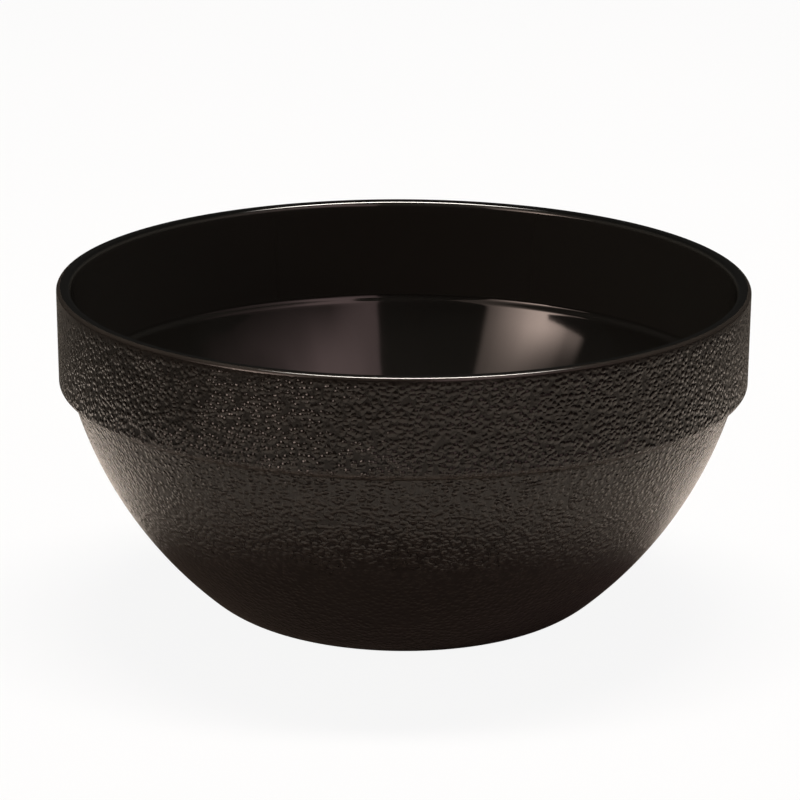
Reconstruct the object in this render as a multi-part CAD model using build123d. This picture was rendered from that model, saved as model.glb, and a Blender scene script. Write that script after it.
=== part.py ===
from build123d import *
from math import asin, atan2, cos, degrees, radians, sin, sqrt, tan
import os

# A stacking serving bowl: one plastic moulding, round about the Z axis.
# From the rim down it has a deep, nearly upright collar, a short shoulder that
# steps in, and a round body that ends in a low foot ring.  The inside follows
# the outside at wall thickness, so it has a ledge behind the shoulder.
# Millimetres, +Z up, origin at the centre of the face that the foot rests on.

# ---- driving dimensions: overall
RIM_RADIUS = 101.6
HEIGHT = 98.4
RIM_LAND = 4.2              # width of the flat top of the rim, edge roundings included
BODY_WALL = 2.35
FLOOR_WALL = 3.2

# ---- driving dimensions: outside
COLLAR_DEPTH = 29.2         # rim to the collar's lower corner, before it is rounded
COLLAR_DRAFT = 1.25         # degrees that the collar leans in as it goes down
SHOULDER_SLOPE = 65.0       # degrees between the shoulder and the vertical
SHOULDER_RADIUS = 97.36     # where the shoulder meets the body
BODY_ARC = 123.1            # radius of the body's long curve
BODY_TOP_SLOPE = 15.85      # degrees from the vertical where the body starts
HEEL_ARC = 32.9             # radius of the tighter curve above the foot
HEEL_TOP_SLOPE = 49.8       # degrees from the vertical where the two curves join

# ---- driving dimensions: inside
INNER_DRAFT = 2.9           # degrees that the inner collar wall leans in going down
LEDGE_OUTER_DEPTH = 29.85   # rim to the ledge, at the wall
LEDGE_INNER_DEPTH = 30.9    # rim to the ledge, at its inner lip
INNER_HEEL_ARC = 36.0       # radius of the curve between the body and the flat floor

# ---- driving dimensions: underside
FOOT_WIDTH = 4.6
RECESS_DEPTH = 1.2          # clearance under the floor inside the foot ring
RECESS_SLOPE = 45.0         # degrees between the recess wall and the vertical
GATE_WELL_RADIUS = 3.0      # shallow well around the moulding gate
GATE_WELL_DEPTH = 0.4
GATE_RADIUS = 0.9           # the gate's stub, trimmed to half the well's depth

# ---- driving dimensions: roundings
OUTER_EDGE = 1.2
INNER_EDGE = 1.6
COLLAR_CORNER = 2.1
SHOULDER_CORNER = 0.5
LEDGE_CORNER = 2.2
LEDGE_LIP = 2.5
FOOT_EDGE = 1.0
RECESS_CORNER = 0.5

# ---- worked out from the dimensions above
INNER_RIM = RIM_RADIUS - RIM_LAND
COLLAR_FOOT = RIM_RADIUS - COLLAR_DEPTH * tan(radians(COLLAR_DRAFT))
SHOULDER_DROP = (COLLAR_FOOT - SHOULDER_RADIUS) / tan(radians(SHOULDER_SLOPE))
SHOULDER_HEIGHT = HEIGHT - COLLAR_DEPTH - SHOULDER_DROP
RECESS_TOP = RECESS_DEPTH
FLOOR_TOP = RECESS_DEPTH + FLOOR_WALL


def polar(centre, radius, slope):
    """The point of a circle whose tangent there stands `slope` degrees off the vertical."""
    angle = radians(slope)
    return (centre[0] + radius * cos(angle), centre[1] - radius * sin(angle))


def arc(centre, radius, top_slope, bottom_slope):
    """A circle's arc, from its upper end to its lower end, in (radius, height)."""
    return CenterArc(centre, radius, -top_slope, top_slope - bottom_slope)


# Centres of the curves, in (radius, height).  Each heel curve touches its body curve.
BODY_CENTRE = polar((SHOULDER_RADIUS, SHOULDER_HEIGHT), -BODY_ARC, BODY_TOP_SLOPE)
HEEL_CENTRE = polar(BODY_CENTRE, BODY_ARC - HEEL_ARC, HEEL_TOP_SLOPE)
FOOT_SLOPE = degrees(asin(HEEL_CENTRE[1] / HEEL_ARC))
FOOT_RADIUS = polar(HEEL_CENTRE, HEEL_ARC, FOOT_SLOPE)[0]

INNER_BODY_ARC = BODY_ARC - BODY_WALL
INNER_HEEL_RISE = BODY_CENTRE[1] - FLOOR_TOP - INNER_HEEL_ARC
INNER_HEEL_RUN = sqrt((INNER_BODY_ARC - INNER_HEEL_ARC) ** 2 - INNER_HEEL_RISE**2)
INNER_HEEL_SLOPE = degrees(atan2(INNER_HEEL_RISE, INNER_HEEL_RUN))
INNER_HEEL_CENTRE = (BODY_CENTRE[0] + INNER_HEEL_RUN, FLOOR_TOP + INNER_HEEL_ARC)


def outside():
    """The outside from the rim's edge to the foot, with the corners left sharp."""
    rim = (RIM_RADIUS, HEIGHT)
    collar = (COLLAR_FOOT, HEIGHT - COLLAR_DEPTH)
    shoulder = (SHOULDER_RADIUS, SHOULDER_HEIGHT)
    lines = [
        Line(rim, collar),
        Line(collar, shoulder),
        arc(BODY_CENTRE, BODY_ARC, BODY_TOP_SLOPE, HEEL_TOP_SLOPE),
        arc(HEEL_CENTRE, HEEL_ARC, HEEL_TOP_SLOPE, FOOT_SLOPE),
    ]
    corners = {
        rim: OUTER_EDGE,
        collar: COLLAR_CORNER,
        shoulder: SHOULDER_CORNER,
        (FOOT_RADIUS, 0): FOOT_EDGE,
    }
    return lines, corners


def inside():
    """The inside from the rim's inner edge to the middle of the floor."""
    rim = (INNER_RIM, HEIGHT)
    wall_foot = INNER_RIM - LEDGE_OUTER_DEPTH * tan(radians(INNER_DRAFT))
    ledge = (wall_foot, HEIGHT - LEDGE_OUTER_DEPTH)
    lip_slope = degrees(asin((BODY_CENTRE[1] - HEIGHT + LEDGE_INNER_DEPTH) / INNER_BODY_ARC))
    lip = polar(BODY_CENTRE, INNER_BODY_ARC, lip_slope)
    floor_edge = (INNER_HEEL_CENTRE[0], FLOOR_TOP)
    lines = [
        Line(rim, ledge),
        Line(ledge, lip),
        arc(BODY_CENTRE, INNER_BODY_ARC, lip_slope, INNER_HEEL_SLOPE),
        arc(INNER_HEEL_CENTRE, INNER_HEEL_ARC, INNER_HEEL_SLOPE, 90),
        Line(floor_edge, (0, FLOOR_TOP)),
    ]
    corners = {rim: INNER_EDGE, ledge: LEDGE_CORNER, lip: LEDGE_LIP}
    return lines, corners


def underside():
    """The underside from the foot's outer edge to the axis: ring, recess, gate well, gate."""
    ring_inner = (FOOT_RADIUS - FOOT_WIDTH, 0)
    recess_edge = (ring_inner[0] - RECESS_DEPTH * tan(radians(RECESS_SLOPE)), RECESS_TOP)
    well_top = RECESS_TOP + GATE_WELL_DEPTH
    gate_end = well_top - GATE_WELL_DEPTH / 2
    lines = Polyline(
        (FOOT_RADIUS, 0),
        ring_inner,
        recess_edge,
        (GATE_WELL_RADIUS, RECESS_TOP),
        (GATE_WELL_RADIUS, well_top),
        (GATE_RADIUS, well_top),
        (GATE_RADIUS, gate_end),
        (0, gate_end),
    )
    corners = {ring_inner: RECESS_CORNER, recess_edge: RECESS_CORNER}
    return [lines], corners


def half_section():
    """The wall's section on one side of the axis, in (radius, height)."""
    lines = [Line((RIM_RADIUS, HEIGHT), (INNER_RIM, HEIGHT))]
    lines.append(Line((0, FLOOR_TOP), (0, RECESS_TOP + GATE_WELL_DEPTH / 2)))
    corners = {}
    for stretch in (outside, inside, underside):
        stretch_lines, stretch_corners = stretch()
        lines.extend(stretch_lines)
        corners.update(stretch_corners)
    section = make_face([edge for line in lines for edge in line.edges()])
    for point, radius in corners.items():
        section = fillet(section.vertices().sort_by_distance(point)[0], radius)
    return section


def bowl():
    """The whole moulding."""
    return revolve(Plane.XZ * half_section(), Axis.Z)


os.makedirs("parts", exist_ok=True)
export_step(bowl(), "parts/bowl.step")
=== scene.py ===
from math import asin, atan2, ceil, cos, hypot, pi, radians, sin, sqrt, tan

import bpy
import numpy as np
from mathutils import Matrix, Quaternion, Vector


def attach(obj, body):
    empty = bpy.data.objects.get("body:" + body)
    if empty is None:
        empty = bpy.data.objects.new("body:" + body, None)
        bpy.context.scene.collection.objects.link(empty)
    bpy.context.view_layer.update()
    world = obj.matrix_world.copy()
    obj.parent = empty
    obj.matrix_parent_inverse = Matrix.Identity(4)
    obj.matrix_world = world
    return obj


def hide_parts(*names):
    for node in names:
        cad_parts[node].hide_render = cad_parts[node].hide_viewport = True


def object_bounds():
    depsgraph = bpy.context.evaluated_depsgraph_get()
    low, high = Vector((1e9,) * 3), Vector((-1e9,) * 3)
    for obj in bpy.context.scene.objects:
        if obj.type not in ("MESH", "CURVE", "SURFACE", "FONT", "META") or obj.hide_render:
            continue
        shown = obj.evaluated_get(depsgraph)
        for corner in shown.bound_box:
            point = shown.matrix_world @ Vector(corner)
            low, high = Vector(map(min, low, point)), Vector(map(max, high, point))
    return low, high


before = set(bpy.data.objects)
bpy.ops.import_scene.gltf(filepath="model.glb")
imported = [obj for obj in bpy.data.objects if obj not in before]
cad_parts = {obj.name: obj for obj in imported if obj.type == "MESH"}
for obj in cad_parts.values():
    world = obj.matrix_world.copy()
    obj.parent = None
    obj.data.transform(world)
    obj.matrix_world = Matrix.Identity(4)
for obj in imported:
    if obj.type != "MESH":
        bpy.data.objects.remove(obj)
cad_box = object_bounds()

# A stacking serving bowl, one black plastic moulding.  The visual piece is a fine
# lathe of the same outline as the CAD solid, with its own surface finishes:
# polished inside and on the rim, pebbled leather grain outside, satin underneath.
# The outline is in millimetres and is turned into metres where the mesh is made.

MM = 0.001

# ---- outline: overall, from the frame
RIM_RADIUS = 101.6
HEIGHT = (cad_box[1].z - cad_box[0].z) / MM
RIM_LAND = 4.2
BODY_WALL = 2.35
FLOOR_WALL = 3.2

# ---- outline: outside
COLLAR_DEPTH = 29.2
COLLAR_DRAFT = 1.25
SHOULDER_SLOPE = 65.0
SHOULDER_RADIUS = 97.36
BODY_ARC = 123.1
BODY_TOP_SLOPE = 15.85
HEEL_ARC = 32.9
HEEL_TOP_SLOPE = 49.8

# ---- outline: inside
INNER_DRAFT = 2.9
LEDGE_OUTER_DEPTH = 29.85
LEDGE_INNER_DEPTH = 30.9
INNER_HEEL_ARC = 36.0

# ---- outline: underside
FOOT_WIDTH = 4.6
RECESS_DEPTH = 1.2
GATE_WELL_RADIUS = 3.0
GATE_WELL_DEPTH = 0.4
GATE_RADIUS = 0.9

# ---- outline: roundings
OUTER_EDGE = 1.2
INNER_EDGE = 1.6
COLLAR_CORNER = 2.1
SHOULDER_CORNER = 0.5
LEDGE_CORNER = 2.2
LEDGE_LIP = 2.5
FOOT_EDGE = 1.0
RECESS_CORNER = 0.5
SMALL_CORNER = 0.12

# ---- mesh density
TURNS = 900                 # quads round the bowl
ARC_STEP = 7.0              # degrees of a rounding per row
LONG_STEP = 1.3             # mm of outline per row elsewhere

# ---- where the grain and the matt, painted-light strips lie, in mm of depth below the rim or of radius
GRAIN_START = (0.5, 3.0)
GRAIN_FOOT = (-0.2, 1.2)                # past the foot's radius
GRAIN_LEVELS = (                        # depth below the collar's foot, level
    (-12, 0.7), (-3, 1.1), (0, 1.15), (3, 1.05), (27, 0.65), (50, 0.4),
)
MATT_START = (-1.5, 0.3)                # past the collar's foot
MATT_END = 0.5                          # on each side of the shoulder's foot
EDGE_MATT = 0.2
EDGE_MATT_START = (0.1, 0.4)
EDGE_MATT_END = (0.7, 1.1)

# ---- finishes, with painted light and shade; colours are linear, sizes are in mm
PLASTIC_IOR = 1.49
SATIN_IOR = 1.47
CLOUD = (0.3, 0.7)                      # a noise's useful range
WALL_HEIGHTS = (68.9, 69.7)             # where the inner wall starts above the ledge
RIM_HEIGHTS = (97.4, 98.2)
INSIDE_DARK, INSIDE_PALE = (0.0058, 0.0056, 0.0049), (0.0072, 0.0069, 0.0061)
# Painted light: the inner wall above the ledge is coloured paler than the body, standing in for
# light that doesn't reach it.
WALL_PAINTED_LIGHT_COLOUR = (0.0145, 0.0142, 0.0125)
# Painted shade: the rim's top is coloured darker than the polish below it, to cancel the
# overhead light that falls on it.
RIM_PAINTED_SHADE_COLOUR = (0.0017, 0.0017, 0.0016)
POLISH_ROUGHNESS = (0.045, 0.075)
WAVE_HEIGHT = 0.06
PEBBLE_SIZE = 1.5
PEBBLE_WARP = (2.4, 0.8)                # size of the warp's noise, and how far it moves
RELIEF = (0.27, 0.41)                   # shallowest and deepest
TOPS_DARK, TOPS_PALE = (0.0110, 0.0093, 0.0077), (0.0142, 0.0120, 0.0100)
# Painted shade: the grain's valleys are coloured darker, standing in for the shade that falls
# in them.
VALLEY_PAINTED_SHADE_COLOUR = (0.0018, 0.0015, 0.0012)
# Painted light: the matt shoulder strip and rim edge are coloured paler, lifting the shade they
# fall in.
MATT_PAINTED_LIGHT_COLOUR = (0.032, 0.027, 0.0235)
GRAIN_ROUGHNESS = (0.12, 0.17)
VALLEY_ROUGHNESS = 0.20
MATT_ROUGHNESS = 0.22
SATIN_DARK, SATIN_PALE = (0.008, 0.0074, 0.0067), (0.013, 0.012, 0.011)
SATIN_ROUGHNESS = (0.32, 0.45)

# ---- studio; colours are linear, places on the floor are in mm
FLOOR_HALF_WIDTH = 1.5                  # metres
FLOOR_GLOW = (0.91, 0.91, 0.91, 1)
FLOOR_DARK, FLOOR_PALE = (0.038, 0.038, 0.038), (0.042, 0.042, 0.042)
FELT_COLOUR = (0.068, 0.063, 0.0566)
# Painted pool of light on the floor, paler round POOL_CENTRE and fading out between POOL_RADII.
PAINTED_LIGHT_POOL_COLOUR = (0.40, 0.37, 0.333)
POOL_CENTRE = (62, -112, 0)
POOL_RADII = (130, 430)
# Painted light: two soft pale discs on the floor beside the bowl, pools of light seen only in
# reflections and bounce.
PAINTED_LIGHT_PATCH_COLOUR = (0.62, 0.577, 0.537)
PAINTED_LIGHT_PATCH_PLACE = (140, 80)
PAINTED_LIGHT_PATCH_RADII = (45, 98)
WORLD_FELT = (0.025, 0.024, 0.022, 1)
KEY_X, KEY_Y = (-0.60, 0.74), (0.08, 0.30)      # metres
KEY_HEIGHT = 1.5
KEY_GLOW = 77
KEY_FADE = 0.45
KEY_TINT = (1.0, 0.93, 0.86)
RIGHT_TINT = (1.26, 0.88, 0.86)
LEFT_TINT = (1.23, 0.95, 0.82)

# ---- the camera, on the photograph's side of the bowl
VIEW_ELEVATION = 16.51
VIEW_ROLL = 0.3
VIEW_DISTANCE = 18.0 * RIM_RADIUS * MM
AIM_OFFSET = (-0.00095, 0, 0.01536)     # from the pivot, in metres
CLIP_START = 0.01
CLIP_END = 50
LENS = 279.3
SENSOR = 36.0


# ------------------------------------------------------------------ outline

def polar(centre, radius, slope):
    """The point of a circle whose tangent there stands `slope` degrees off the vertical."""
    angle = radians(slope)
    return (centre[0] + radius * cos(angle), centre[1] - radius * sin(angle))


def arc_points(centre, radius, top_slope, bottom_slope):
    """Points of a circle's arc, both ends included."""
    count = max(2, ceil(abs(bottom_slope - top_slope) * radians(1) * radius / LONG_STEP))
    slopes = np.linspace(top_slope, bottom_slope, count + 1)
    return [polar(centre, radius, s) for s in slopes]


def rounded(before, corner, after, radius):
    """Points of the rounding that replaces a sharp corner between two straight runs."""
    a = np.subtract(before, corner)
    b = np.subtract(after, corner)
    a = a / np.hypot(*a)
    b = b / np.hypot(*b)
    half = np.arccos(np.clip(a @ b, -1, 1)) / 2
    centre = np.asarray(corner) + (a + b) / np.hypot(*(a + b)) * radius / sin(half)
    start = np.asarray(corner) + a * radius / tan(half) - centre
    end = np.asarray(corner) + b * radius / tan(half) - centre
    turn = atan2(start[0] * end[1] - start[1] * end[0], start @ end)
    count = max(3, ceil(abs(turn) / radians(ARC_STEP)))
    points = []
    for step in range(count + 1):
        t = turn * step / count
        points.append(tuple(centre + (start[0] * cos(t) - start[1] * sin(t),
                                      start[0] * sin(t) + start[1] * cos(t))))
    return points


def straight(start, end):
    """Points between two ends, the ends left out."""
    count = ceil(hypot(end[0] - start[0], end[1] - start[1]) / LONG_STEP)
    return [tuple(np.add(start, np.subtract(end, start) * k / count)) for k in range(1, count)]


def join(*stretches):
    """One run of points through the stretches, filled in between them."""
    points = list(stretches[0])
    for stretch in stretches[1:]:
        points += straight(points[-1], stretch[0])
        points += stretch
    return points


COLLAR_FOOT = RIM_RADIUS - COLLAR_DEPTH * tan(radians(COLLAR_DRAFT))
SHOULDER_DROP = (COLLAR_FOOT - SHOULDER_RADIUS) / tan(radians(SHOULDER_SLOPE))
SHOULDER_HEIGHT = HEIGHT - COLLAR_DEPTH - SHOULDER_DROP
INNER_RIM = RIM_RADIUS - RIM_LAND
FLOOR_TOP = RECESS_DEPTH + FLOOR_WALL
BODY_CENTRE = polar((SHOULDER_RADIUS, SHOULDER_HEIGHT), -BODY_ARC, BODY_TOP_SLOPE)
HEEL_CENTRE = polar(BODY_CENTRE, BODY_ARC - HEEL_ARC, HEEL_TOP_SLOPE)
FOOT_SLOPE = asin(HEEL_CENTRE[1] / HEEL_ARC) / radians(1)
FOOT_RADIUS = polar(HEEL_CENTRE, HEEL_ARC, FOOT_SLOPE)[0]
INNER_BODY_ARC = BODY_ARC - BODY_WALL
INNER_HEEL_RISE = BODY_CENTRE[1] - FLOOR_TOP - INNER_HEEL_ARC
INNER_HEEL_RUN = sqrt((INNER_BODY_ARC - INNER_HEEL_ARC) ** 2 - INNER_HEEL_RISE**2)
INNER_HEEL_SLOPE = atan2(INNER_HEEL_RISE, INNER_HEEL_RUN) / radians(1)
INNER_HEEL_CENTRE = (BODY_CENTRE[0] + INNER_HEEL_RUN, FLOOR_TOP + INNER_HEEL_ARC)


def outside_points():
    """Rim's outer edge, collar, shoulder, body and heel, down to the foot."""
    rim = (RIM_RADIUS, HEIGHT)
    rim_inner = (INNER_RIM, HEIGHT)
    collar = (COLLAR_FOOT, HEIGHT - COLLAR_DEPTH)
    shoulder = (SHOULDER_RADIUS, SHOULDER_HEIGHT)
    body = arc_points(BODY_CENTRE, BODY_ARC, BODY_TOP_SLOPE + 0.25, HEEL_TOP_SLOPE)
    heel = arc_points(HEEL_CENTRE, HEEL_ARC, HEEL_TOP_SLOPE, FOOT_SLOPE - 0.3)
    foot = (FOOT_RADIUS, 0)
    ring = (FOOT_RADIUS - FOOT_WIDTH, 0)
    return join(
        rounded(rim_inner, rim, collar, OUTER_EDGE),
        rounded(rim, collar, shoulder, COLLAR_CORNER),
        rounded(collar, shoulder, body[1], SHOULDER_CORNER),
        body[1:],
        heel[1:-1],
        rounded(heel[-2], foot, ring, FOOT_EDGE),
    )


def underside_points():
    """Foot ring, recess, gate well and gate, in to the axis."""
    foot = (FOOT_RADIUS, 0)
    ring = (FOOT_RADIUS - FOOT_WIDTH, 0)
    recess = (ring[0] - RECESS_DEPTH, RECESS_DEPTH)
    well = (GATE_WELL_RADIUS, RECESS_DEPTH)
    well_top = (GATE_WELL_RADIUS, RECESS_DEPTH + GATE_WELL_DEPTH)
    gate_foot = (GATE_RADIUS, well_top[1])
    gate_end = (GATE_RADIUS, well_top[1] - GATE_WELL_DEPTH / 2)
    axis = (0, gate_end[1])
    return join(
        rounded(foot, ring, recess, RECESS_CORNER),
        rounded(ring, recess, well, RECESS_CORNER),
        rounded(recess, well, well_top, SMALL_CORNER),
        rounded(well, well_top, gate_foot, SMALL_CORNER),
        rounded(well_top, gate_foot, gate_end, SMALL_CORNER / 2),
        rounded(gate_foot, gate_end, axis, SMALL_CORNER / 2),
        [axis],
    )


def inside_points():
    """Middle of the floor, inner body, ledge and inner wall, up to the rim's inner edge."""
    rim = (INNER_RIM, HEIGHT)
    rim_outer = (RIM_RADIUS, HEIGHT)
    wall_foot = INNER_RIM - LEDGE_OUTER_DEPTH * tan(radians(INNER_DRAFT))
    ledge = (wall_foot, HEIGHT - LEDGE_OUTER_DEPTH)
    lip_rise = BODY_CENTRE[1] - HEIGHT + LEDGE_INNER_DEPTH
    lip_slope = asin(lip_rise / INNER_BODY_ARC) / radians(1)
    lip = polar(BODY_CENTRE, INNER_BODY_ARC, lip_slope)
    body = arc_points(BODY_CENTRE, INNER_BODY_ARC, lip_slope, INNER_HEEL_SLOPE)
    heel = arc_points(INNER_HEEL_CENTRE, INNER_HEEL_ARC, INNER_HEEL_SLOPE, 90)
    return join(
        [(0, FLOOR_TOP)],
        heel[::-1],
        body[-2:0:-1],
        rounded(body[1], lip, ledge, LEDGE_LIP),
        rounded(lip, ledge, rim, LEDGE_CORNER),
        rounded(ledge, rim, rim_outer, INNER_EDGE),
    )


# --------------------------------------------------------------------- mesh

def lathe(name, outline, turns):
    """A closed surface of revolution.  The outline starts and ends on the axis."""
    ring = np.arange(turns) * 2 * pi / turns
    rows = np.array(outline[1:-1])
    radius, height = rows[:, :1] * MM, rows[:, 1:] * MM
    x, y = radius * np.cos(ring), radius * np.sin(ring)
    z = height + 0 * ring
    middle = np.stack([x, y, z], 2).reshape(-1, 3)
    ends = np.array([[0, 0, outline[0][1] * MM], [0, 0, outline[-1][1] * MM]])
    vertices = np.vstack([middle, ends])
    first, last = len(middle), len(middle) + 1
    row, col = np.meshgrid(np.arange(len(rows) - 1), np.arange(turns), indexing="ij")
    step = (col + 1) % turns
    quads = np.stack([row * turns + col, (row + 1) * turns + col,
                      (row + 1) * turns + step, row * turns + step], 2).reshape(-1, 4)
    around = np.arange(turns)
    beside = (around + 1) % turns
    tail = (len(rows) - 1) * turns
    start_fan = np.stack([np.full(turns, first), around, beside], 1)
    end_fan = np.stack([np.full(turns, last), tail + beside, tail + around], 1)
    corners = np.concatenate([quads.ravel(), start_fan.ravel(), end_fan.ravel()])
    sizes = np.concatenate([np.full(len(quads), 4), np.full(2 * turns, 3)])
    mesh = bpy.data.meshes.new(name)
    mesh.vertices.add(len(vertices))
    mesh.vertices.foreach_set("co", vertices.ravel())
    mesh.loops.add(len(corners))
    mesh.loops.foreach_set("vertex_index", corners)
    mesh.polygons.add(len(sizes))
    mesh.polygons.foreach_set("loop_start", np.concatenate([[0], np.cumsum(sizes)[:-1]]))
    mesh.update(calc_edges=True)
    mesh.validate()
    mesh.shade_smooth()
    piece = bpy.data.objects.new(name, mesh)
    bpy.context.scene.collection.objects.link(piece)
    return piece


def ramp(value, low, high):
    """0 at low, 1 at high, eased between."""
    t = np.clip((value - low) / (high - low), 0, 1)
    return t * t * (3 - 2 * t)


def make_bowl():
    """The moulding's mesh, with its finishes and the mask that fades the grain out."""
    inside = inside_points()
    outside = outside_points()
    underside = underside_points()
    outline = inside + straight(inside[-1], outside[0]) + outside
    outline += straight(outside[-1], underside[0]) + underside
    bowl = lathe("bowl_moulding", outline, TURNS)
    mesh = bowl.data
    rows = np.array(outline[1:-1])
    rim_row = len(inside) - 1
    foot_row = rim_row + len(straight(inside[-1], outside[0])) + len(outside)
    # Grain starts just below the rim's edge and stops where the foot ring starts.
    depth = HEIGHT - rows[:, 1]
    grain = ramp(depth, *GRAIN_START)
    grain = grain * ramp(rows[:, 0], FOOT_RADIUS + GRAIN_FOOT[0], FOOT_RADIUS + GRAIN_FOOT[1])
    index = np.arange(len(rows))
    grain = np.where((index > rim_row) & (index < foot_row), grain, 0.0)
    # It is deepest at the collar's foot and gets shallower up the collar and down the body.
    grain = grain * np.interp(depth - COLLAR_DEPTH, *zip(*GRAIN_LEVELS))
    # The shoulder is matt, with the rounding above it, and the rim's outer edge a little; the
    # same mask paints them paler, as painted light against the shade they fall in.
    shoulder_foot = SHOULDER_HEIGHT - HEIGHT
    matt_and_painted_light = ramp(depth, COLLAR_DEPTH + MATT_START[0], COLLAR_DEPTH + MATT_START[1])
    matt_and_painted_light = matt_and_painted_light * ramp(-depth, shoulder_foot - MATT_END, shoulder_foot + MATT_END)
    edge = ramp(depth, *EDGE_MATT_START) * (1 - ramp(depth, *EDGE_MATT_END))
    matt_and_painted_light = matt_and_painted_light + EDGE_MATT * edge
    for name, level in (("grain", grain), ("matt_and_painted_light", matt_and_painted_light)):
        per_vertex = np.concatenate([np.repeat(level, TURNS), [0.0, 0.0]]).astype(np.float32)
        mesh.attributes.new(name, "FLOAT", "POINT").data.foreach_set("value", per_vertex)
    # Material of each row of faces.
    face_row = np.repeat(np.arange(len(rows) - 1), TURNS)
    edge_row = rim_row + len(straight(inside[-1], outside[0])) + 1
    slot = np.where(face_row < edge_row, 0, np.where(face_row < foot_row - 1, 1, 2))
    slot = np.concatenate([slot, np.zeros(TURNS), np.full(TURNS, 2)]).astype(np.int32)
    mesh.polygons.foreach_set("material_index", slot)
    return bowl


# ---------------------------------------------------------------- materials

class Nodes:
    """A short way to write a material's node tree."""

    def __init__(self, name):
        self.material = bpy.data.materials.new(name)
        self.material.use_nodes = True
        self.tree = self.material.node_tree
        self.tree.nodes.clear()
        self.shader = self.add("ShaderNodeBsdfPrincipled")
        self.out = self.add("ShaderNodeOutputMaterial")
        self.link(self.shader.outputs[0], self.out.inputs["Surface"])

    def add(self, kind, **settings):
        node = self.tree.nodes.new(kind)
        for key, value in settings.items():
            setattr(node, key, value)
        return node

    def link(self, source, target):
        if isinstance(source, (int, float)):
            target.default_value = source
        else:
            self.tree.links.new(source, target)

    def math(self, operation, a, b=0.0, clamp=False):
        node = self.add("ShaderNodeMath", operation=operation, use_clamp=clamp)
        for socket, value in zip(node.inputs, (a, b)):
            self.link(value, socket)
        return node.outputs[0]

    def remap(self, value, low, high, to_low, to_high, smooth=False):
        node = self.add("ShaderNodeMapRange")
        node.interpolation_type = "SMOOTHSTEP" if smooth else "LINEAR"
        for socket, number in zip(node.inputs[:5], (value, low, high, to_low, to_high)):
            self.link(number, socket)
        return node.outputs[0]

    def place_mm(self):
        """The object's own coordinates in millimetres."""
        where = self.add("ShaderNodeTexCoord")
        scale = self.add("ShaderNodeVectorMath", operation="SCALE")
        self.link(where.outputs["Object"], scale.inputs[0])
        scale.inputs["Scale"].default_value = 1 / MM
        return scale.outputs[0]

    def noise(self, place, size, detail=2.0, colour=False):
        node = self.add("ShaderNodeTexNoise")
        self.link(place, node.inputs["Vector"])
        node.inputs["Scale"].default_value = 1 / size
        node.inputs["Detail"].default_value = detail
        return node.outputs[1 if colour else 0]

    def voronoi(self, place, size):
        """Distance to the nearest cell's centre, in cell sizes."""
        node = self.add("ShaderNodeTexVoronoi", feature="F1")
        self.link(place, node.inputs["Vector"])
        node.inputs["Scale"].default_value = 1 / size
        return node.outputs["Distance"]

    def warp(self, place, size, amount):
        """The place moved about by a noise, so that a pattern loses its regularity."""
        shift = self.add("ShaderNodeVectorMath", operation="SUBTRACT")
        self.link(self.noise(place, size, detail=1.0, colour=True), shift.inputs[0])
        shift.inputs[1].default_value = (0.5, 0.5, 0.5)
        scaled = self.add("ShaderNodeVectorMath", operation="SCALE")
        self.link(shift.outputs[0], scaled.inputs[0])
        scaled.inputs["Scale"].default_value = amount
        moved = self.add("ShaderNodeVectorMath", operation="ADD")
        self.link(place, moved.inputs[0])
        self.link(scaled.outputs[0], moved.inputs[1])
        return moved.outputs[0]

    def mix_colour(self, factor, a, b):
        node = self.add("ShaderNodeMix", data_type="RGBA")
        self.link(factor, node.inputs[0])
        for socket, colour in ((node.inputs[6], a), (node.inputs[7], b)):
            if isinstance(colour, tuple):
                socket.default_value = (*colour, 1)
            else:
                self.tree.links.new(colour, socket)
        return node.outputs[2]

    def bump(self, height, depth):
        node = self.add("ShaderNodeBump")
        node.inputs["Strength"].default_value = 1.0
        self.link(depth, node.inputs["Distance"])
        self.link(height, node.inputs["Height"])
        return node.outputs[0]


def polished_plastic():
    """Inside and rim: the mould's mirror polish, faintly wavy."""
    n = Nodes("polished_plastic")
    place = n.place_mm()
    cloud = n.noise(place, 28.0, detail=3.0)
    fine = n.noise(place, 0.6, detail=2.0)
    split = n.add("ShaderNodeSeparateXYZ")
    n.link(place, split.inputs[0])
    wall = n.remap(split.outputs["Z"], *WALL_HEIGHTS, 0, 1, smooth=True)
    rim = n.remap(split.outputs["Z"], *RIM_HEIGHTS, 0, 1, smooth=True)
    body = n.mix_colour(n.remap(cloud, *CLOUD, 0, 1), INSIDE_DARK, INSIDE_PALE)
    # Painted light: above the ledge the inner wall turns paler, for light that doesn't reach
    # it.
    above = n.mix_colour(wall, body, WALL_PAINTED_LIGHT_COLOUR)
    # Painted shade: the rim's top turns darker, against the overhead light on it.
    n.link(n.mix_colour(rim, above, RIM_PAINTED_SHADE_COLOUR), n.shader.inputs["Base Color"])
    roughness = n.remap(cloud, *CLOUD, *POLISH_ROUGHNESS)
    roughness = n.math("ADD", roughness, n.math("MULTIPLY", fine, 0.02))
    n.link(roughness, n.shader.inputs["Roughness"])
    n.shader.inputs["IOR"].default_value = PLASTIC_IOR
    wave = n.noise(place, 22.0, detail=1.0)
    n.link(n.bump(wave, WAVE_HEIGHT * MM), n.shader.inputs["Normal"])
    return n.material


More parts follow.
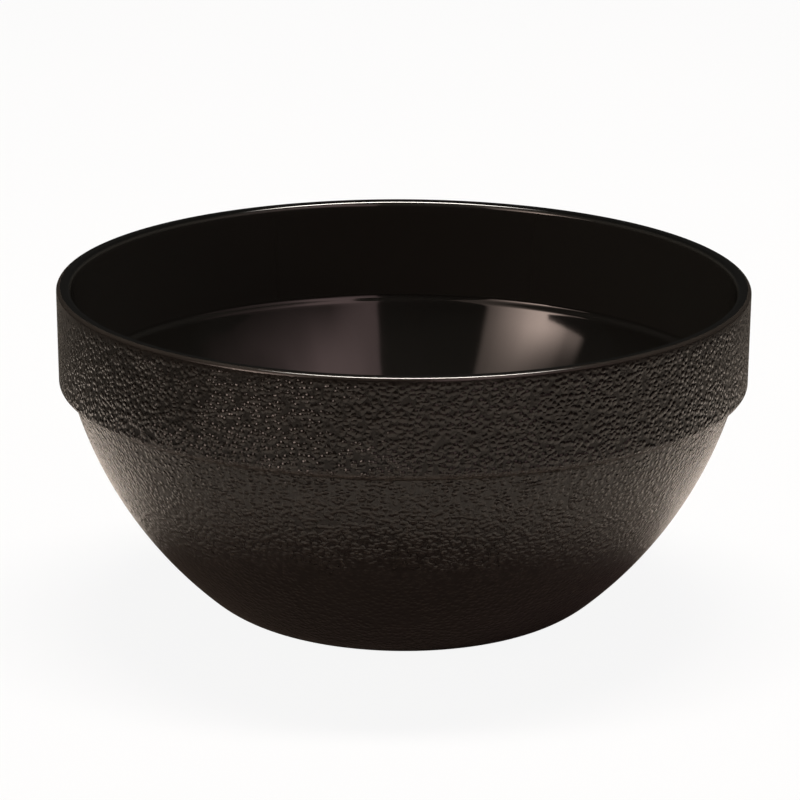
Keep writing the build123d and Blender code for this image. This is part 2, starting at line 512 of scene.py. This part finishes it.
def grained_plastic():
    """Outside: flat-topped pebbles about 1.5 mm across with narrow valleys between them."""
    n = Nodes("grained_plastic")
    place = n.place_mm()
    mask = n.add("ShaderNodeAttribute", attribute_name="grain").outputs["Fac"]
    warped = n.warp(place, *PEBBLE_WARP)
    dome = n.voronoi(warped, PEBBLE_SIZE)
    pebble = n.remap(dome, 0.12, 0.72, 1.0, 0.0, smooth=True)
    fine = n.noise(place, 0.6, detail=1.0)
    height = n.math("ADD", pebble, n.math("MULTIPLY", fine, 0.25))
    height = n.math("MULTIPLY", height, mask)
    # The relief isn't equally deep everywhere.
    patches = n.noise(place, 13.0, detail=2.0)
    depth = n.remap(patches, 0.35, 0.65, RELIEF[0] * MM, RELIEF[1] * MM)
    n.link(n.bump(height, depth), n.shader.inputs["Normal"])
    cloud = n.noise(place, 18.0, detail=3.0)
    tops = n.mix_colour(n.remap(cloud, *CLOUD, 0, 1), TOPS_DARK, TOPS_PALE)
    # Painted shade: the valleys between the pebbles take a darker colour, for the shade that
    # falls in them.
    low = n.remap(dome, 0.3, 0.65, 0.0, 1.0, smooth=True)
    low = n.math("MULTIPLY", low, mask, clamp=True)
    colour = n.mix_colour(low, tops, VALLEY_PAINTED_SHADE_COLOUR)
    matt_and_painted_light = n.add("ShaderNodeAttribute", attribute_name="matt_and_painted_light").outputs["Fac"]
    # Painted light: the matt bands take a paler colour, lifting the shade they lie in.
    n.link(n.mix_colour(matt_and_painted_light, colour, MATT_PAINTED_LIGHT_COLOUR), n.shader.inputs["Base Color"])
    valley = n.math("MULTIPLY", n.remap(dome, 0.45, 0.75, 0.0, 1.0, smooth=True), mask)
    roughness = n.remap(cloud, *CLOUD, *GRAIN_ROUGHNESS)
    roughness = n.math("ADD", roughness, n.math("MULTIPLY", valley, VALLEY_ROUGHNESS))
    roughness = n.math("ADD", roughness, n.math("MULTIPLY", matt_and_painted_light, MATT_ROUGHNESS))
    n.link(roughness, n.shader.inputs["Roughness"])
    n.shader.inputs["IOR"].default_value = PLASTIC_IOR
    return n.material


def underside_plastic():
    """Foot ring and recess: a satin surface, scuffed where the ring rubs the table."""
    n = Nodes("underside_plastic")
    place = n.place_mm()
    cloud = n.noise(place, 9.0, detail=4.0)
    fine = n.noise(place, 0.35, detail=3.0)
    n.link(n.mix_colour(cloud, SATIN_DARK, SATIN_PALE), n.shader.inputs["Base Color"])
    n.link(n.remap(cloud, *CLOUD, *SATIN_ROUGHNESS), n.shader.inputs["Roughness"])
    n.link(n.bump(fine, 0.02 * MM), n.shader.inputs["Normal"])
    n.shader.inputs["IOR"].default_value = SATIN_IOR
    return n.material


def floor_material():
    """Nearly white to the camera, dark felt with painted pools of light to every other ray, and
    see-through from below.
    """
    n = Nodes("pale_floor")
    place = n.place_mm()
    cloud = n.noise(place, 120.0, detail=2.0)
    seen = n.add("ShaderNodeBsdfDiffuse")
    n.link(n.mix_colour(cloud, FLOOR_DARK, FLOOR_PALE), seen.inputs["Color"])
    glow = n.add("ShaderNodeEmission")
    glow.inputs["Color"].default_value = FLOOR_GLOW
    both = n.add("ShaderNodeAddShader")
    n.link(seen.outputs[0], both.inputs[0])
    n.link(glow.outputs[0], both.inputs[1])
    felt = n.add("ShaderNodeBsdfDiffuse")
    # Painted pool of light: the felt turns paler round a point in front of the bowl.
    reach = n.add("ShaderNodeVectorMath", operation="DISTANCE")
    n.link(place, reach.inputs[0])
    reach.inputs[1].default_value = POOL_CENTRE
    painted_light_pool = n.remap(reach.outputs["Value"], *POOL_RADII, 1, 0, smooth=True)
    base = n.mix_colour(painted_light_pool, FELT_COLOUR, PAINTED_LIGHT_POOL_COLOUR)
    # Two painted pools of light, soft pale discs on the floor, lie beside the bowl, one on each
    # side, towards the back.
    split = n.add("ShaderNodeSeparateXYZ")
    n.link(place, split.inputs[0])
    across = n.math("SUBTRACT", n.math("ABSOLUTE", split.outputs["X"]), PAINTED_LIGHT_PATCH_PLACE[0])
    along = n.math("SUBTRACT", split.outputs["Y"], PAINTED_LIGHT_PATCH_PLACE[1])
    square = n.math("ADD", n.math("MULTIPLY", across, across), n.math("MULTIPLY", along, along))
    away = n.math("SQRT", square)
    painted_light_patch = n.remap(away, *PAINTED_LIGHT_PATCH_RADII, 1, 0, smooth=True)
    n.link(n.mix_colour(painted_light_patch, base, PAINTED_LIGHT_PATCH_COLOUR), felt.inputs["Color"])
    path = n.add("ShaderNodeLightPath")
    mix = n.add("ShaderNodeMixShader")
    n.link(path.outputs["Is Camera Ray"], mix.inputs[0])
    n.link(felt.outputs[0], mix.inputs[1])
    n.link(both.outputs[0], mix.inputs[2])
    under = n.add("ShaderNodeBsdfTransparent")
    back = n.add("ShaderNodeNewGeometry")
    top = n.add("ShaderNodeMixShader")
    n.link(back.outputs["Backfacing"], top.inputs[0])
    n.link(mix.outputs[0], top.inputs[1])
    n.link(under.outputs[0], top.inputs[2])
    n.tree.nodes.remove(n.shader)
    n.link(top.outputs[0], n.out.inputs["Surface"])
    return n.material


# -------------------------------------------------------------------- stage

def make_floor(half_width):
    mesh = bpy.data.meshes.new("floor")
    corners = [(-half_width, -half_width, 0), (half_width, -half_width, 0),
               (half_width, half_width, 0), (-half_width, half_width, 0)]
    mesh.from_pydata(corners, [], [(0, 1, 2, 3)])
    floor = bpy.data.objects.new("floor", mesh)
    bpy.context.scene.collection.objects.link(floor)
    mesh.materials.append(floor_material())


def direction(azimuth, elevation):
    """Unit vector towards azimuth (0 is the camera's side, + is to its right) and elevation."""
    a, e = radians(azimuth), radians(elevation)
    return Vector((sin(a) * cos(e), -cos(a) * cos(e), sin(e)))


def light_mesh(name, points, faces, glow, colour):
    """A glowing surface that the camera doesn't see, left out of second reflections."""
    mesh = bpy.data.meshes.new(name)
    mesh.from_pydata(points, [], faces)
    level = mesh.attributes.new("glow", "FLOAT", "POINT")
    level.data.foreach_set("value", np.array(glow, np.float32))
    n = Nodes(name)
    n.tree.nodes.remove(n.shader)
    light = n.add("ShaderNodeEmission")
    light.inputs["Color"].default_value = (*colour, 1)
    level = n.add("ShaderNodeAttribute", attribute_name="glow").outputs["Fac"]
    first = n.math("LESS_THAN", n.add("ShaderNodeLightPath").outputs["Glossy Depth"], 1.5)
    n.link(n.math("MULTIPLY", level, first), light.inputs["Strength"])
    n.link(light.outputs[0], n.out.inputs["Surface"])
    mesh.materials.append(n.material)
    box = bpy.data.objects.new(name, mesh)
    bpy.context.scene.collection.objects.link(box)
    box.visible_camera = False
    box.visible_shadow = False


def rising(elevation, full, dim, bright, low):
    """Brightness that grows from the light's lower edge until `full`."""
    return dim + (bright - dim) * ramp(elevation, low, full)


def falling(elevation, knee, fade, bright, tail):
    """Brightness that is even up to the knee and fades away above it."""
    above = np.maximum(elevation - knee, 0) / fade
    return tail + (bright - tail) * np.exp(-above**1.4)


def softbox(name, columns, profile, colour, distance=1.5, target=(0, 0, 0.06)):
    """A curved diffuser round the bowl.  Each column is (azimuth, lowest and highest
    elevation, then the numbers of its brightness profile)."""
    columns = np.array(sorted(columns), float)
    across, up = 120, 48
    at = np.linspace(columns[0, 0], columns[-1, 0], across + 1)
    low, high, *shape = (np.interp(at, columns[:, 0], values) for values in columns.T[1:])
    points, glow = [], []
    for i, azimuth in enumerate(at):
        elevations = np.linspace(low[i], high[i], up + 1)
        points += [Vector(target) + direction(azimuth, e) * distance for e in elevations]
        glow += list(profile(elevations, *(numbers[i] for numbers in shape)))
    faces = []
    for i in range(across):
        for j in range(up):
            k = i * (up + 1) + j
            faces.append((k, k + 1, k + up + 2, k + up + 1))
    light_mesh(name, points, faces, glow, colour)


def overhead(name, x_range, y_range, height, glow, fade, colour):
    """A flat diffuser above the bowl, dimming over `fade` metres towards its two sides."""
    across = 60
    xs = np.linspace(*x_range, across + 1)
    points = [(x, y, height) for x in xs for y in y_range]
    level = []
    for x in xs:
        inset = min(x - x_range[0], x_range[1] - x)
        level += [glow * float(ramp(inset, 0, fade))] * len(y_range)
    faces = [(2 * k, 2 * k + 1, 2 * k + 3, 2 * k + 2) for k in range(across)]
    light_mesh(name, points, faces, level, colour)


def make_lights():
    overhead("key_overhead", KEY_X, KEY_Y, KEY_HEIGHT, KEY_GLOW, KEY_FADE, KEY_TINT)
    # azimuth, lowest, highest; elevation of full brightness, dim, bright, lowest
    softbox("fill_right", [
        (10, 8, 46, 40, 0.85, 0.90, 8),
        (14, 8, 47, 40, 0.80, 0.95, 8),
        (20, 8, 50, 38, 0.40, 1.20, 8),
        (28, 12, 60, 36, 0.08, 1.28, 14),
        (36, 12, 78, 38, 0.08, 1.28, 13),
        (44, 12, 78, 46, 0.12, 1.10, 12),
        (52, 14, 72, 30, 0.10, 0.48, 14),
        (61, 16, 62, 24, 0.10, 0.28, 16),
        (70, 17, 58, 25, 0.08, 0.20, 17),
        (79, 16, 54, 22, 0.05, 0.12, 16),
        (88, 16, 48, 20, 0.00, 0.02, 16),
    ], rising, RIGHT_TINT)
    # azimuth, lowest, highest; knee, fade, bright, tail
    softbox("box_left", [
        (-74, 17.4, 60, 18, 4.5, 0.00, 0.00),
        (-71, 17.4, 62, 18, 4.5, 1.90, 0.03),
        (-66, 17.3, 68, 18, 5.0, 2.60, 0.08),
        (-62, 17.2, 72, 18, 6.0, 5.20, 0.15),
        (-56.5, 17.1, 72, 19, 6.5, 7.20, 0.34),
        (-54, 10, 72, 19, 7.5, 7.50, 0.40),
        (-49, 10, 72, 20, 9.0, 6.30, 0.42),
        (-45, 10, 72, 20, 11.0, 4.60, 0.42),
        (-41, 10, 72, 20, 13.0, 3.30, 0.42),
        (-36, 10, 72, 21, 15.0, 1.80, 0.42),
        (-33, 10, 72, 22, 17.0, 1.20, 0.42),
        (-31, 10, 72, 22, 17.0, 0.00, 0.00),
    ], falling, LEFT_TINT)


def make_world():
    """Pale to the camera, dim to everything else, as in a darkened studio."""
    world = bpy.data.worlds.new("studio")
    world.use_nodes = True
    tree = world.node_tree
    tree.nodes.clear()
    out = tree.nodes.new("ShaderNodeOutputWorld")
    seen = tree.nodes.new("ShaderNodeBackground")
    seen.inputs["Color"].default_value = (1, 1, 1, 1)
    felt = tree.nodes.new("ShaderNodeBackground")
    felt.inputs["Color"].default_value = WORLD_FELT
    path = tree.nodes.new("ShaderNodeLightPath")
    mix = tree.nodes.new("ShaderNodeMixShader")
    tree.links.new(path.outputs["Is Camera Ray"], mix.inputs[0])
    tree.links.new(felt.outputs[0], mix.inputs[1])
    tree.links.new(seen.outputs[0], mix.inputs[2])
    tree.links.new(mix.outputs[0], out.inputs["Surface"])
    bpy.context.scene.world = world


def make_camera():
    """A long lens on the bowl, aimed so that the bowl sits in the frame as photographed."""
    camera = bpy.data.cameras.new("camera")
    camera.sensor_width = SENSOR
    camera.lens = LENS
    camera.clip_start = CLIP_START
    camera.clip_end = CLIP_END
    holder = bpy.data.objects.new("camera", camera)
    bpy.context.scene.collection.objects.link(holder)
    pivot = Vector((0, 0, (HEIGHT - RIM_RADIUS / 2) * MM))
    holder.location = pivot + direction(0, VIEW_ELEVATION) * VIEW_DISTANCE
    aim = pivot + Vector(AIM_OFFSET)
    holder.rotation_mode = "QUATERNION"
    turn = Quaternion((0, 0, 1), radians(VIEW_ROLL))
    holder.rotation_quaternion = (holder.location - aim).to_track_quat("Z", "Y") @ turn
    bpy.context.scene.camera = holder


# --------------------------------------------------------------------- main

scene = bpy.context.scene
scene.view_settings.view_transform = "Standard"
scene.view_settings.look = "None"

bowl = make_bowl()
for material in (polished_plastic(), grained_plastic(), underside_plastic()):
    bowl.data.materials.append(material)
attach(bowl, "root")
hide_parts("bowl")

make_floor(FLOOR_HALF_WIDTH)
make_lights()
make_world()
make_camera()
